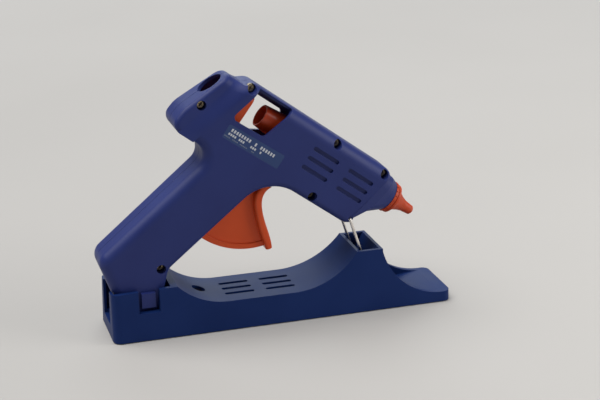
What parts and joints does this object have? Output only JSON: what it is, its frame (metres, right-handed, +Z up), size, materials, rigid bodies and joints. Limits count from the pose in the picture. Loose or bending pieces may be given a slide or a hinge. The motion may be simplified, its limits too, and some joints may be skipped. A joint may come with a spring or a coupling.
{
  "type": "hot glue gun with base",
  "caption": "Pistol-shaped hot-melt glue gun with trigger feed and folding wire stand, standing in its plug-in heating base.",
  "frame": {"origin": "on the table under the middle of the bounding box", "axes": "+X from the rear of the base towards the nozzle and drip tray, +Y to the gun's left side, +Z up"},
  "size_m": [0.2348, 0.0452, 0.1654],
  "materials": {
    "base_plastic": "fine-grained moulded navy blue",
    "gun_plastic": "fine-grained moulded violet-blue",
    "trigger_plastic": "semi-gloss moulded orange-red",
    "orange_silicone": "satin heat-proof silicone",
    "label_film": "printed film, plain",
    "feet_rubber": "matt",
    "screw_steel": "zinc-plated",
    "wire_steel": "bright drawn wire",
    "spring_steel": "drawn",
    "brass": "turned",
    "cast_aluminium": "die-cast",
    "ceramic_stone": "fired",
    "mica": "mica sheet",
    "insulator": "black thermoset",
    "smoked_lens": "smoked",
    "lamp_glass": "clear neon bulb",
    "wire_sleeve": "silicone-covered lead"
  },
  "bodies": {
    "base": {"base_shell": "base_plastic", "base_cover": "base_plastic", "base_cover_screws": "screw_steel", "rubber_feet": "feet_rubber", "contact_block": "insulator", "contact_pins": "brass", "pilot_lens": "smoked_lens", "neon_lamp": "lamp_glass", "mains_inlet": "insulator", "inlet_pins": "brass", "base_wires": "wire_sleeve"},
    "gun": {"right_shell": "gun_plastic", "left_shell": "gun_plastic", "label_plate": "label_film", "shell_screws": "screw_steel", "nozzle_cover": "orange_silicone", "nozzle": "brass", "melt_chamber": "cast_aluminium", "heater_element": "ceramic_stone", "heater_insulation": "mica", "heater_clip": "spring_steel", "inlet_sleeve": "orange_silicone", "sleeve_clamp": "spring_steel", "heater_wires": "wire_sleeve", "foot_block": "gun_plastic", "foot_contacts": "brass", "trigger_pin": "wire_steel"},
    "trigger": {"trigger": "trigger_plastic", "return_spring": "spring_steel"},
    "carriage": {"carriage": "trigger_plastic", "carriage_pin": "wire_steel", "clamp_pin": "wire_steel"},
    "clamp": {"stick_clamp": "spring_steel"},
    "stand": {"wire_stand": "wire_steel"}
  },
  "joints": [
    {"name": "gun_lift", "type": "slide", "parent": "base", "child": "gun", "axis": [0, 0, 1], "range_m": [0, 0.12]},
    {"name": "trigger_pull", "type": "hinge", "parent": "gun", "child": "trigger", "pos_m": [-0.01849, 0, 0.09722], "axis": [0, 1, 0], "range_deg": [0, 25], "stiffness_Nm_per_rad": 0.4, "springref_deg": -17.19},
    {"name": "carriage_slide", "type": "slide", "parent": "gun", "child": "carriage", "axis": [0.809, 0, -0.5878], "range_m": [0, 0.00914]},
    {"name": "clamp_tilt", "type": "hinge", "parent": "carriage", "child": "clamp", "pos_m": [-0.03243, 0, 0.13825], "axis": [0, 1, 0], "range_deg": [0, 6.01]},
    {"name": "stand_fold", "type": "hinge", "parent": "gun", "child": "stand", "pos_m": [0.04746, 0, 0.06414], "axis": [0, 1, 0], "range_deg": [0, 54.1]}
  ],
  "couplings": [
    {"joint": "carriage_slide", "follows": "trigger_pull", "m_per_rad": 0.02093},
    {"joint": "clamp_tilt", "follows": "trigger_pull", "ratio": 0.24},
    {"joint": "stand_fold", "follows": "gun_lift", "rad_per_m": 7.854}
  ]
}
